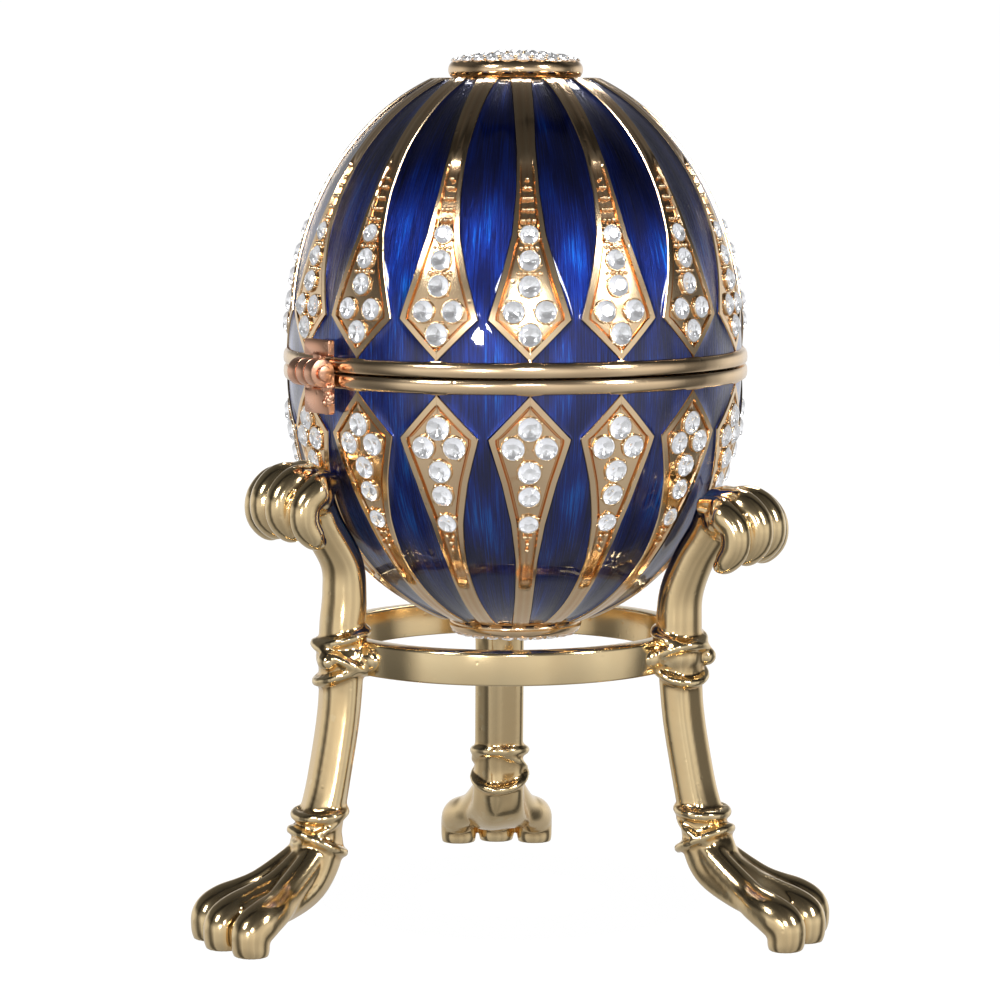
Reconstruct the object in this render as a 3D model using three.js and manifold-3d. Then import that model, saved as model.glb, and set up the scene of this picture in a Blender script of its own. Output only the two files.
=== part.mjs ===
// A jewelled egg trinket box, hinged at its seam, in a cradle of three lion legs.
// Millimetres, +Z up. The egg is modelled about the Z axis, and the feet stand on z = 0.

import * as THREE from 'three';
import * as BufferGeometryUtils from 'three/addons/utils/BufferGeometryUtils.js';
import Module from 'manifold-3d';

const wasm = await Module();
wasm.setup();

// Where the egg's axis stands over the footprint, whose third leg reaches back
const EGG_CENTRE_X = 0.3;
const EGG_CENTRE_Y = -5.65;

// Driving dimensions of the egg
const SEAM_Z = 55.5;
const SEAM_GAP = 0.16;
const EGG_RADIUS = 22.8;
const WALL = 2;
const BAND_RADIUS = 23.1;
const BAND_HEIGHT = 1.5;
const DISC_RADIUS = 6.7;
const KITE_COUNT = 16;
const KITE_TURN = THREE.MathUtils.degToRad(3.5);
const RECESS_DEPTH = 0.85;
const ENAMEL_TOP = 0.25;
const ENAMEL_BOTTOM = 0.75;
const ENAMEL_GAP = 0.1;

// Each half is a superellipse cut off flat at its pole. Heights are counted from the seam outwards.
// A kite runs from its tip at the band over its corners to a neck, and goes on as a narrow rib:
// edge lists its height and half width from the corners on.
const LID = {
  name: 'lid',
  up: 1,
  height: 30,
  power: 2.2,
  flat: 28.1,
  tip: 1.6,
  edge: [[5.5, 4.03], [9.6, 2.72], [13.4, 1.68], [17.3, 1.18], [21.3, 0.96], [28.1, 1.05]],
  floorThickness: 1.9,
};
const BOWL = {
  name: 'base',
  up: -1,
  height: 27,
  power: 2.2,
  flat: 25.4,
  tip: 1.6,
  edge: [[5.75, 4.03], [10, 2.68], [14, 1.7], [18, 1.1], [22, 0.95], [25.4, 0.9]],
  floorThickness: 2.2,
};
const TIP_HALF = 0.12;
const KITE_PITCH = (2 * Math.PI) / KITE_COUNT;

// Driving dimensions of the hinge, whose barrel lies across a gap between two kites
const HINGE_TURN = KITE_TURN - 2.5 * KITE_PITCH;
const HINGE_REACH = 24.6;
const HINGE_Z = 55.6;
const BARREL_RADIUS = 1.35;
const BARREL_LENGTH = 4.2;
const MIDDLE_KNUCKLE = 1.3;
const HINGE_CLEARANCE = 0.1;
const PIN_RADIUS = 0.5;
const PIN_HOLE_RADIUS = 0.58;
const PIN_HEAD_RADIUS = 0.75;
const PIN_HEAD_LENGTH = 0.35;
const LEAF_THICKNESS = 0.65;
const LEAF_REACH = 23.3;
const LID_LEAF_TOP = 58.7;
const BASE_LEAF_BOTTOM = 51.6;

// Driving dimensions of the stand
const RING_INNER_RADIUS = 16.35;
const RING_OUTER_RADIUS = 18.2;
const RING_BOTTOM = 25.7;
const RING_TOP = 29;
const RING_CHAMFER = 0.45;
const RING_NOTCH_GAP = 0.15;
const ARM_EGG_GAP = 0.25;
// The egg settles a little to one side of the hand-built stand's own axis
const STAND_SHIFT = -0.8;
const LEGS = [
  { name: 'leg_left', turn: -57.7, pawLift: 1.2, footTurn: 0 },
  { name: 'leg_right', turn: 62.3, pawLift: -1.2, footTurn: 7 },
  { name: 'leg_back', turn: 182.3, pawLift: 0, footTurn: 0 },
];

// Materials
const roseGold = new THREE.MeshStandardMaterial({ color: 0xd8a878, metalness: 1, roughness: 0.18 });
const paleGold = new THREE.MeshStandardMaterial({ color: 0xd9c08a, metalness: 1, roughness: 0.16 });
const enamel = new THREE.MeshStandardMaterial({ color: 0x10208c, metalness: 0, roughness: 0.08 });
const crystal = new THREE.MeshStandardMaterial({ color: 0xe8ecf0, metalness: 0, roughness: 0.05 });

const group = new THREE.Group();

const stand = new THREE.Group();
stand.position.x = STAND_SHIFT;
group.add(stand);

function addMesh(name, geometry, material, turn = 0, parent = group) {
  const mesh = new THREE.Mesh(geometry, material);
  mesh.name = name;
  mesh.rotation.z = turn;
  parent.add(mesh);
}

// Solids: a closed geometry becomes a manifold, is joined or cut, and becomes a geometry again

function toSolid(geometry) {
  const bare = geometry.clone();
  bare.deleteAttribute('normal');
  bare.deleteAttribute('uv');
  const merged = BufferGeometryUtils.mergeVertices(bare, 1e-4);
  const mesh = new wasm.Mesh({
    numProp: 3,
    vertProperties: new Float32Array(merged.attributes.position.array),
    triVerts: new Uint32Array(merged.index.array),
  });
  return new wasm.Manifold(mesh);
}

function toGeometry(solid) {
  const mesh = solid.getMesh();
  const geometry = new THREE.BufferGeometry();
  geometry.setAttribute('position', new THREE.BufferAttribute(mesh.vertProperties, 3));
  geometry.setIndex(new THREE.BufferAttribute(mesh.triVerts, 1));
  geometry.computeVertexNormals();
  return geometry;
}

function joined(geometries) {
  return geometries.map(toSolid).reduce((all, next) => all.add(next));
}

// A closed skin over equal rings of points that run anticlockwise seen from ahead of the loft
function loft(rings) {
  const count = rings[0].length;
  const positions = [];
  const index = [];
  rings.forEach((ring) => ring.forEach((point) => positions.push(point.x, point.y, point.z)));
  for (let row = 0; row + 1 < rings.length; row += 1) {
    for (let i = 0; i < count; i += 1) {
      const a = row * count + i;
      const b = row * count + ((i + 1) % count);
      index.push(a, b, b + count, a, b + count, a + count);
    }
  }
  [0, rings.length - 1].forEach((row) => {
    const centre = new THREE.Vector3();
    rings[row].forEach((point) => centre.addScaledVector(point, 1 / count));
    const hub = positions.length / 3;
    positions.push(centre.x, centre.y, centre.z);
    for (let i = 0; i < count; i += 1) {
      const a = row * count + i;
      const b = row * count + ((i + 1) % count);
      if (row === 0) index.push(hub, b, a);
      else index.push(hub, a, b);
    }
  });
  const geometry = new THREE.BufferGeometry();
  geometry.setAttribute('position', new THREE.Float32BufferAttribute(positions, 3));
  geometry.setIndex(index);
  return geometry;
}

// A lathe around +Z from a list of [radius, z]
function turned(profile, segments) {
  const points = profile.map(([radius, z]) => new THREE.Vector2(radius, z));
  const geometry = new THREE.LatheGeometry(points, segments);
  geometry.rotateX(Math.PI / 2);
  return geometry;
}

function box(xRange, yRange, zRange) {
  const [x, y, z] = [xRange, yRange, zRange];
  const geometry = new THREE.BoxGeometry(x[1] - x[0], y[1] - y[0], z[1] - z[0]);
  geometry.translate((x[0] + x[1]) / 2, (y[0] + y[1]) / 2, (z[0] + z[1]) / 2);
  return geometry;
}

// Azimuths are counted from -Y towards +X
function polar(radius, azimuth, z) {
  return new THREE.Vector3(radius * Math.sin(azimuth), -radius * Math.cos(azimuth), z);
}

// The egg's surface

function eggRadius(half, height) {
  return EGG_RADIUS * Math.sqrt(1 - (height / half.height) ** half.power);
}

// Above the flat pole the surface runs on inwards, and height counts the way along it
const POLE_RUN = 1.1;

function eggNormal(half, height) {
  const radial = (2 * eggRadius(half, height)) / EGG_RADIUS ** 2;
  const along = (half.power / half.height) * (height / half.height) ** (half.power - 1);
  return new THREE.Vector2(radial, along).normalize();
}

function surfaceRadius(half, height) {
  const beyond = Math.max(height - half.flat, 0);
  return eggRadius(half, height - beyond) - beyond;
}

function eggPoint(half, height, azimuth, depth) {
  const normal = height > half.flat ? new THREE.Vector2(0, 1) : eggNormal(half, height);
  const radius = surfaceRadius(half, height) - depth * normal.x;
  const along = Math.min(height, half.flat) - depth * normal.y;
  return polar(radius, azimuth, SEAM_Z + half.up * along);
}

function kiteHalfWidth(half, height) {
  const edge = [[half.tip, TIP_HALF], ...half.edge];
  const along = Math.min(height, half.flat);
  const next = edge.findIndex(([top]) => along <= top);
  const [fromHeight, fromWidth] = edge[Math.max(next, 1) - 1];
  const [toHeight, toWidth] = edge[Math.max(next, 1)];
  return THREE.MathUtils.mapLinear(along, fromHeight, toHeight, fromWidth, toWidth);
}

function kiteHalfAngle(half, height) {
  return kiteHalfWidth(half, height) / surfaceRadius(half, height);
}

// Heights at which the pattern is built: the tip, each point of the kite's edge, and the pole
function patternHeights(half) {
  const heights = half.edge.map(([height]) => height);
  const steep = THREE.MathUtils.lerp(heights[heights.length - 2], half.flat, half.up > 0 ? 0.55 : 0.5);
  heights.splice(-1, 0, steep);
  return [half.tip, ...heights, half.flat + POLE_RUN];
}

// One ring of the shell's outside: each kite's face at full height, each cell's floor below it
function patternRing(half, height) {
  const spread = kiteHalfAngle(half, height);
  const ring = [];
  for (let kite = 0; kite < KITE_COUNT; kite += 1) {
    const middle = KITE_TURN + kite * KITE_PITCH;
    ring.push(eggPoint(half, height, middle - spread, 0));
    ring.push(eggPoint(half, height, middle + spread, 0));
    ring.push(eggPoint(half, height, middle + spread, RECESS_DEPTH));
    ring.push(eggPoint(half, height, middle + KITE_PITCH - spread, RECESS_DEPTH));
  }
  return ring;
}

function plainRing(radius, z) {
  const ring = [];
  const count = 4 * KITE_COUNT;
  for (let i = 0; i < count; i += 1) {
    ring.push(polar(radius, KITE_TURN + ((i - 0.5) * 2 * Math.PI) / count, z));
  }
  return ring;
}

function shellSolid(half) {
  const seamZ = SEAM_Z + (half.up * SEAM_GAP) / 2;
  const bandZ = SEAM_Z + half.up * BAND_HEIGHT;
  const flatZ = SEAM_Z + half.up * half.flat;
  const rings = [
    plainRing(BAND_RADIUS, seamZ),
    plainRing(BAND_RADIUS, bandZ),
    ...patternHeights(half).map((height) => patternRing(half, height)),
    plainRing(DISC_RADIUS, flatZ),
  ];
  if (half.up < 0) rings.reverse();
  return toSolid(loft(rings)).subtract(toSolid(cavity(half)));
}

// The hollow of a half: a smaller superellipse, cut off flat, and open through the seam
function cavity(half) {
  const radius = EGG_RADIUS - WALL;
  const depth = half.flat - half.floorThickness;
  const height = depth * 1.055;
  const steps = 5;
  const profile = [[0, SEAM_Z - half.up], [radius, SEAM_Z - half.up]];
  for (let i = 0; i <= steps; i += 1) {
    const h = depth * Math.sin((i / steps) * (Math.PI / 2));
    profile.push([radius * Math.sqrt(1 - (h / height) ** half.power), SEAM_Z + half.up * h]);
  }
  profile.push([0, SEAM_Z + half.up * depth]);
  if (half.up < 0) profile.reverse();
  return turned(profile, 24);
}

// The enamel of one cell, a curved plate that lies in the recess between two kites
function enamelCell(half, cell) {
  const heights = patternHeights(half);
  heights[0] += 0.2;
  heights[heights.length - 1] -= 0.2;
  const rings = heights.map((height) => {
    const inset = ENAMEL_GAP / surfaceRadius(half, height);
    const left = KITE_TURN + cell * KITE_PITCH + kiteHalfAngle(half, height) + inset;
    const right = KITE_TURN + (cell + 1) * KITE_PITCH - kiteHalfAngle(half, height) - inset;
    return [
      eggPoint(half, height, left, ENAMEL_TOP),
      eggPoint(half, height, right, ENAMEL_TOP),
      eggPoint(half, height, right, ENAMEL_BOTTOM),
      eggPoint(half, height, left, ENAMEL_BOTTOM),
    ];
  });
  if (half.up < 0) rings.reverse();
  return loft(rings);
}

[LID, BOWL].forEach((half) => {
  addMesh(`${half.name}_shell`, toGeometry(shellSolid(half)), roseGold);
  for (let cell = 0; cell < KITE_COUNT; cell += 1) {
    const number = String(cell + 1).padStart(2, '0');
    addMesh(`${half.name}_enamel_${number}`, enamelCell(half, cell), enamel);
  }
});

// The jewelled discs at the poles: a rounded gold rim around a low dome of stones

function poleDisc(half, rimHeight, domeHeight) {
  const seatZ = SEAM_Z + half.up * (half.flat + 0.05);
  const at = (radius, height) => [radius, seatZ + half.up * height];
  const round = rimHeight * 0.3;
  const profile = [
    at(0, 0),
    at(DISC_RADIUS - round, 0),
    at(DISC_RADIUS, round),
    at(DISC_RADIUS, rimHeight - round),
    at(DISC_RADIUS - round, rimHeight),
    at(DISC_RADIUS * 0.88, rimHeight + domeHeight * 0.5),
    at(DISC_RADIUS * 0.6, rimHeight + domeHeight * 0.9),
    at(0, rimHeight + domeHeight),
  ];
  if (half.up < 0) profile.reverse();
  return turned(profile, 24);
}

addMesh('top_jewel_disc', poleDisc(LID, 2, 1.05), crystal);
addMesh('bottom_jewel_disc', poleDisc(BOWL, 1.5, 0.9), crystal);

// The hinge, built with its barrel along X and the egg's wall behind it in +Y

function barrel(xRange, radius) {
  const geometry = new THREE.CylinderGeometry(radius, radius, xRange[1] - xRange[0], 12);
  geometry.rotateZ(Math.PI / 2);
  geometry.translate((xRange[0] + xRange[1]) / 2, -HINGE_REACH, HINGE_Z);
  return geometry;
}

const barrelHalf = BARREL_LENGTH / 2;
const middleHalf = MIDDLE_KNUCKLE / 2;
const leafDepth = [-LEAF_REACH - LEAF_THICKNESS, -LEAF_REACH];
const knuckleSweep = BARREL_RADIUS + 2 * HINGE_CLEARANCE;
const pinHole = toSolid(barrel([-BARREL_LENGTH, BARREL_LENGTH], PIN_HOLE_RADIUS));

const lidLeaf = joined([
  barrel([-middleHalf, middleHalf], BARREL_RADIUS),
  box([-middleHalf, middleHalf], leafDepth, [HINGE_Z, HINGE_Z + knuckleSweep + 0.3]),
  box([-barrelHalf, barrelHalf], leafDepth, [HINGE_Z + knuckleSweep, LID_LEAF_TOP]),
]).subtract(pinHole);
addMesh('hinge_leaf_lid', toGeometry(lidLeaf), roseGold, HINGE_TURN);

const sideKnuckle = [middleHalf + HINGE_CLEARANCE, barrelHalf];
const baseLeafParts = [box([-barrelHalf, barrelHalf], leafDepth, [BASE_LEAF_BOTTOM, HINGE_Z - knuckleSweep])];
[-1, 1].forEach((side) => {
  const range = sideKnuckle.map((x) => side * x).sort((a, b) => a - b);
  baseLeafParts.push(barrel(range, BARREL_RADIUS));
  baseLeafParts.push(box(range, leafDepth, [HINGE_Z - knuckleSweep - 0.3, HINGE_Z]));
});
const baseLeaf = joined(baseLeafParts).subtract(pinHole);
addMesh('hinge_leaf_base', toGeometry(baseLeaf), roseGold, HINGE_TURN);

const pinEnd = barrelHalf + HINGE_CLEARANCE;
const hingePin = joined([
  barrel([-pinEnd - 0.1, pinEnd + 0.1], PIN_RADIUS),
  barrel([-pinEnd - PIN_HEAD_LENGTH, -pinEnd], PIN_HEAD_RADIUS),
  barrel([pinEnd, pinEnd + PIN_HEAD_LENGTH], PIN_HEAD_RADIUS),
]);
addMesh('hinge_pin', toGeometry(hingePin), roseGold, HINGE_TURN);

// The stand's ring, a strip bent round and butted

function ringProfile(gap) {
  return [
    [RING_INNER_RADIUS - gap, RING_BOTTOM - gap],
    [RING_OUTER_RADIUS + gap, RING_BOTTOM - gap],
    [RING_OUTER_RADIUS + gap, RING_TOP - RING_CHAMFER + gap],
    [RING_OUTER_RADIUS - RING_CHAMFER + gap, RING_TOP + gap],
    [RING_INNER_RADIUS - gap, RING_TOP + gap],
    [RING_INNER_RADIUS - gap, RING_BOTTOM - gap],
  ];
}

addMesh('stand_ring', turned(ringProfile(0), 36), paleGold, 0, stand);

// A leg, built in the plane x = 0 and reaching out along -Y. A station is a cross-section at
// [reach, z], with its half thickness in that plane and its half width across it.

function station(reach, z, thick, wide, flute = 0) {
  return { reach, z, thick, wide, flute };
}

function sectionRing(stations, i, sides, offset) {
  const here = stations[i];
  const before = stations[Math.max(i - 1, 0)];
  const after = stations[Math.min(i + 1, stations.length - 1)];
  const along = new THREE.Vector2(after.reach - before.reach, after.z - before.z).normalize();
  const ring = [];
  for (let k = 0; k < sides; k += 1) {
    const angle = ((k + 0.5) * 2 * Math.PI) / sides;
    const swell = 1 + here.flute * (k % 2 ? 1 : -1);
    const across = Math.cos(angle) * here.wide * swell;
    const out = Math.sin(angle) * here.thick * swell;
    const reach = here.reach + out * along.y;
    const z = here.z - out * along.x;
    ring.push(new THREE.Vector3(offset + across, -reach, z));
  }
  return ring;
}

// The stations run so that the outside of a limb lies on the left of its path
function limb(stations, sides, offset = 0) {
  const rings = stations.map((_, i) => sectionRing(stations, i, sides, offset));
  return loft(rings.map((ring) => ring.reverse()));
}

// The arm follows the bowl upwards and bends over into the paw. Its upper stations are measured
// from the bowl's wall, which stands a little nearer or farther than the stand's own axis says.
function armStations(pawLift, eggReach) {
  const thick = 2.05;
  const beside = (height, half) => {
    const normal = eggNormal(BOWL, height);
    const distance = half + ARM_EGG_GAP;
    const reach = eggRadius(BOWL, height) + distance * normal.x + eggReach;
    return [reach, SEAM_Z - height - distance * normal.y];
  };
  return [
    station(26 + eggReach, 42 + pawLift, 1.7, 4.4),
    station(24.8 + eggReach, 42.7 + pawLift, 2.1, 4),
    station(...beside(11.2 - pawLift, 2.1), 2, 2.9),
    station(...beside(14.2 - pawLift / 2, thick), thick, 2.5, 0.05),
    station(...beside(17.4, thick), thick, 2.45, 0.05),
    station(19.05 + eggReach / 3, 33.5, 2.15, 2.5, 0.05),
    station(19.05, 30.4, 2.25, 2.6, 0.05),
  ];
}

// The knot at the ring, the shaft, the bound ankle and the instep
function shankStations() {
  return [
    station(19.1, 29.3, 2.3, 2.6),
    station(19.2, 28.2, 2.85, 3.2),
    station(19.2, 25.4, 2.75, 3.1),
    station(19.3, 24.2, 2, 2.8),
    station(19.7, 20.5, 1.85, 2.75, 0.06),
    station(20.7, 15.2, 1.85, 2.75, 0.06),
    station(21.2, 13.1, 2, 2.8),
    station(21.5, 12.1, 2.75, 3.25),
    station(21.9, 10.6, 2.4, 2.8),
    station(22.2, 8.4, 3, 3.3),
    station(23.5, 6.3, 2.7, 3.4),
    station(26.4, 4.5, 2.3, 4.3),
    station(29.6, 3.6, 2, 5),
  ];
}

// Four toes curl over the front of the upper paw
function pawToes(pawLift, eggReach) {
  const pitch = 3;
  return [-1.5, -0.5, 0.5, 1.5].map((place) => {
    const back = Math.abs(place) > 1 ? 1.1 : 0;
    const at = (reach, z, size) => station(reach + eggReach - back, z + pawLift, size, size * 0.95);
    const path = [
      at(25.9, 39.1, 0.9),
      at(27.1, 39.9, 1.4),
      at(27.6, 41.7, 1.5),
      at(26.6, 43.4, 1.5),
      at(24.6, 43.6, 1.1),
    ];
    return limb(path, 6, place * pitch);
  });
}

// Three toes of the foot, each with a flat pad on the ground
function footToes(footTurn) {
  const pitch = 4.2;
  const ankle = 24;
  const padHeight = 0.45;
  return [-1, 0, 1].map((place) => {
    const back = place === 0 ? 0 : 0.8;
    const at = (reach, z, size) => station(reach - back, z, size, size);
    const path = [
      at(26.6, 5, 1.6),
      at(29.2, 3.95, 1.9),
      at(31.2, 3.1, 2.1),
      at(32.8, 2, 1.95),
      at(32.8, 0.6, 1.75),
    ];
    const toe = limb(path, 8, place * pitch);
    const pad = box(
      [place * pitch - 1.5, place * pitch + 1.5],
      [-34 + back, -30.2 + back],
      [0, padHeight + 1],
    );
    [toe, pad].forEach((piece) => {
      piece.translate(0, ankle, 0).rotateZ(footTurn).translate(0, -ankle, 0);
    });
    return toSolid(toe).add(toSolid(pad));
  });
}

function legGeometry(pawLift, footTurn, eggReach) {
  const body = [...armStations(pawLift, eggReach), ...shankStations()];
  let leg = joined([limb(body, 10), ...pawToes(pawLift, eggReach)]);
  footToes(footTurn).forEach((toe) => {
    leg = leg.add(toe);
  });
  const belowGround = toSolid(box([-20, 20], [-50, 0], [-10, 0]));
  const ringNotch = toSolid(turned(ringProfile(RING_NOTCH_GAP), 36));
  return toGeometry(leg.subtract(belowGround).subtract(ringNotch));
}

LEGS.forEach(({ name, turn, pawLift, footTurn }) => {
  const azimuth = THREE.MathUtils.degToRad(turn);
  const eggReach = -STAND_SHIFT * Math.sin(azimuth);
  const geometry = legGeometry(pawLift, THREE.MathUtils.degToRad(footTurn), eggReach);
  addMesh(name, geometry, paleGold, azimuth, stand);
});

// The origin is on the ground in the middle of the footprint, so the egg's axis stands off it
group.position.set(EGG_CENTRE_X, EGG_CENTRE_Y, 0);
group.updateMatrixWorld(true);

export default group;
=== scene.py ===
"""A jewelled egg trinket box in a stand of three lion legs.

Shapes are worked out in millimetres, about the egg's or the ring's own axis, and become
metres in the model's frame when their mesh is made. Azimuths run from -Y towards +X.
"""
import math
import random

import bpy
import numpy as np
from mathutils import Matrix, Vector


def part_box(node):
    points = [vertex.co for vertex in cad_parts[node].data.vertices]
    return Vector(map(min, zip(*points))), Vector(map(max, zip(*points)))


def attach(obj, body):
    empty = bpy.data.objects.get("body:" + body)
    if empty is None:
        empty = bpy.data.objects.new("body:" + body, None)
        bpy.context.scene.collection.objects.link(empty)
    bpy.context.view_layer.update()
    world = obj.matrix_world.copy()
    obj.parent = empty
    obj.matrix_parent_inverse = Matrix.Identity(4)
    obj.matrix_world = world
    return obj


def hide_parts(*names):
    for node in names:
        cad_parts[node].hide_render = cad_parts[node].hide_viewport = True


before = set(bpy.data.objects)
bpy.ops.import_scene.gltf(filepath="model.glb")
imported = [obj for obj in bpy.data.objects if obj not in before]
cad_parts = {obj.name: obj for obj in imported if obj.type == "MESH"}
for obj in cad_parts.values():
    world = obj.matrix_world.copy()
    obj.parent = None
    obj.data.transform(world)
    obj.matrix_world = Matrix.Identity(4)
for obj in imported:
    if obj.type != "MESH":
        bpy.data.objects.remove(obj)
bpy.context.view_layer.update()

MM = 0.001


def centre_of(node):
    low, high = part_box(node)
    return (low.x + high.x) / 2 / MM, (low.y + high.y) / 2 / MM


EGG_CENTRE = centre_of("lid_shell")
STAND_CENTRE = centre_of("stand_ring")

# ---------------------------------------------------------------- meshes


class Shape:
    """Points in millimetres, each with its painted shade value, and faces, each with its material's number.
    """

    def __init__(self):
        self.points = []
        self.faces = []
        self.kinds = []
        self.values = []

    def add(self, points, faces, kind=0, values=None):
        start = len(self.points)
        self.points.extend(points)
        self.faces.extend([tuple(start + i for i in face) for face in faces])
        self.kinds.extend([kind] * len(faces))
        self.values.extend(values if values is not None else [0.0] * len(points))
        return self


def grid_faces(rows, columns, around):
    """Quads of a grid of points whose rows may close on themselves."""
    faces = []
    for row in range(rows - 1):
        for column in range(columns if around else columns - 1):
            a = row * columns + column
            b = row * columns + (column + 1) % columns
            faces.append((a, b, b + columns, a + columns))
    return faces


def flipped(faces):
    return [tuple(reversed(face)) for face in faces]


def torus_faces(segments, section):
    faces = []
    for i in range(segments):
        for j in range(section):
            a, b = i * section, ((i + 1) % segments) * section
            k = (j + 1) % section
            faces.append((a + j, b + j, b + k, a + k))
    return faces


def turned_shape(profile, segments=96):
    """A solid of revolution about Z from a list of (radius, z), which starts and ends on the axis
    or closes on itself."""
    inner = [p for p in profile if p[0] > 1e-6]
    points = []
    for radius, z in inner:
        for i in range(segments):
            turn = 2 * math.pi * i / segments
            points.append((radius * math.cos(turn), radius * math.sin(turn), z))
    faces = grid_faces(len(inner), segments, True)
    last = (len(inner) - 1) * segments
    if profile[0][0] < 1e-6:
        points.append((0, 0, profile[0][1]))
        hub = len(points) - 1
        faces += [(hub, (i + 1) % segments, i) for i in range(segments)]
    if profile[-1][0] < 1e-6:
        points.append((0, 0, profile[-1][1]))
        hub = len(points) - 1
        faces += [(hub, last + i, last + (i + 1) % segments) for i in range(segments)]
    if profile[0] == profile[-1] and profile[0][0] > 1e-6:
        points = points[:-segments]
        faces = [tuple(i % len(points) for i in face) for face in faces]
    return Shape().add(points, faces)


def rounded_profile(corners):
    """Rounds the corners of a closed or open profile given as (radius, z, rounding)."""
    steps = 4
    result = []
    count = len(corners)
    for i, (x, z, rounding) in enumerate(corners):
        here = Vector((x, z))
        if rounding <= 0 or i in (0, count - 1):
            result.append((x, z))
            continue
        before = Vector(corners[i - 1][:2])
        after = Vector(corners[i + 1][:2])
        back = (before - here).normalized()
        on = (after - here).normalized()
        for step in range(steps + 1):
            t = step / steps
            a = here + back * rounding * (1 - t)
            b = here + on * rounding * t
            result.append(tuple(a.lerp(b, t)))
    return result


def new_object(name, data):
    made = bpy.data.objects.new(name, data)
    bpy.context.scene.collection.objects.link(made)
    return made


def make(name, shape, body, materials, centre=(0, 0), turn=0.0, replaced=(), sharp=None):
    """Makes a piece of a shape, in metres, in its place, and lets it ride on a body."""
    points = np.array(shape.points, float)
    c, s = math.cos(turn), math.sin(turn)
    placed = np.empty_like(points)
    placed[:, 0] = points[:, 0] * c - points[:, 1] * s + centre[0]
    placed[:, 1] = points[:, 0] * s + points[:, 1] * c + centre[1]
    placed[:, 2] = points[:, 2]
    mesh = bpy.data.meshes.new(name)
    mesh.from_pydata((placed * MM).tolist(), [], shape.faces)
    mesh.validate()
    for material in materials:
        mesh.materials.append(material)
    if len(materials) > 1 and len(mesh.polygons) == len(shape.kinds):
        mesh.polygons.foreach_set("material_index", shape.kinds)
    # The points' painted shade goes into a mesh attribute that the plating reads.
    if any(shape.values):
        layer = mesh.attributes.new("painted_shade", "FLOAT", "POINT")
        layer.data.foreach_set("value", shape.values)
    mesh.polygons.foreach_set("use_smooth", [sharp != 0] * len(mesh.polygons))
    if sharp:
        mesh.set_sharp_from_angle(angle=math.radians(sharp))
    mesh.update()
    piece = new_object(name, mesh)
    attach(piece, body)
    if replaced:
        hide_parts(*replaced)
    return piece


# ---------------------------------------------------------------- materials


def new_material(name):
    material = bpy.data.materials.new(name)
    material.use_nodes = True
    nodes = material.node_tree.nodes
    return material, nodes, material.node_tree.links, nodes["Principled BSDF"]


def node(nodes, kind, **settings):
    made = nodes.new(kind)
    for key, value in settings.items():
        if key in made.inputs:
            made.inputs[key].default_value = value
        else:
            setattr(made, key, value)
    return made


def set_inputs(shader, values):
    for key, value in values.items():
        shader.inputs[key].default_value = value


def ramp(nodes, stops):
    made = nodes.new("ShaderNodeValToRGB")
    elements = made.color_ramp.elements
    while len(elements) < len(stops):
        elements.new(0.5)
    for element, (position, colour) in zip(elements, stops):
        element.position = position
        element.color = (*colour, 1)
    return made


def grey_ramp(nodes, stops):
    return ramp(nodes, [(position, (grey,) * 3) for position, grey in stops])


def gold(name, bright, deep, roughness, pits):
    """Polished plating, faintly mottled, with small casting pits. Its colour carries painted shade: darker
    and more copper in hollows found from the surface's pointiness, and where the mesh's attribute marks
    painted shade.
    """
    material, nodes, links, shader = new_material(name)
    shader.inputs["Metallic"].default_value = 1.0
    place = node(nodes, "ShaderNodeTexCoord")
    # Painted shade: a mesh attribute and the hollows found from pointiness pull the colour towards the darker
    # shade colour.
    painted_shade = node(nodes, "ShaderNodeAttribute", attribute_name="painted_shade")
    geometry = node(nodes, "ShaderNodeNewGeometry")
    hollow = node(nodes, "ShaderNodeMapRange",
                  **{"From Min": 0.42, "From Max": 0.52, "To Min": 1.0, "To Max": 0.0})
    links.new(geometry.outputs["Pointiness"], hollow.inputs["Value"])
    mottle = node(nodes, "ShaderNodeTexNoise", Scale=240.0, Detail=3.0)
    links.new(place.outputs["Object"], mottle.inputs["Vector"])
    softened = node(nodes, "ShaderNodeMath", operation="MULTIPLY_ADD")
    softened.inputs[1].default_value = 0.35
    softened.inputs[2].default_value = -0.12
    links.new(mottle.outputs["Fac"], softened.inputs[0])
    # The stronger of the two painted shades wins.
    depth = node(nodes, "ShaderNodeMath", operation="MAXIMUM")
    links.new(painted_shade.outputs["Fac"], depth.inputs[0])
    links.new(hollow.outputs["Result"], depth.inputs[1])
    total = node(nodes, "ShaderNodeMath", operation="ADD", use_clamp=True)
    links.new(depth.outputs[0], total.inputs[0])
    links.new(softened.outputs[0], total.inputs[1])
    # From the bright colour to the painted shade colour.
    colours = ramp(nodes, [(0.0, bright), (1.0, deep)])
    links.new(total.outputs[0], colours.inputs["Fac"])
    links.new(colours.outputs["Color"], shader.inputs["Base Color"])
    rough = node(nodes, "ShaderNodeMapRange", **{"To Min": roughness * 0.75, "To Max": roughness * 1.5})
    links.new(mottle.outputs["Fac"], rough.inputs["Value"])
    links.new(rough.outputs["Result"], shader.inputs["Roughness"])
    waves = node(nodes, "ShaderNodeTexNoise", Scale=330.0, Detail=1.0)
    links.new(place.outputs["Object"], waves.inputs["Vector"])
    dents = node(nodes, "ShaderNodeTexVoronoi", Scale=700.0)
    links.new(place.outputs["Object"], dents.inputs["Vector"])
    dent = node(nodes, "ShaderNodeMapRange", **{"From Min": 0.0, "From Max": 0.16})
    links.new(dents.outputs["Distance"], dent.inputs["Value"])
    first = node(nodes, "ShaderNodeBump", Strength=0.22, Distance=0.00012)
    links.new(waves.outputs["Fac"], first.inputs["Height"])
    second = node(nodes, "ShaderNodeBump", Strength=pits, Distance=0.00005)
    links.new(dent.outputs["Result"], second.inputs["Height"])
    links.new(first.outputs["Normal"], second.inputs["Normal"])
    links.new(second.outputs["Normal"], shader.inputs["Normal"])
    return material


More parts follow.
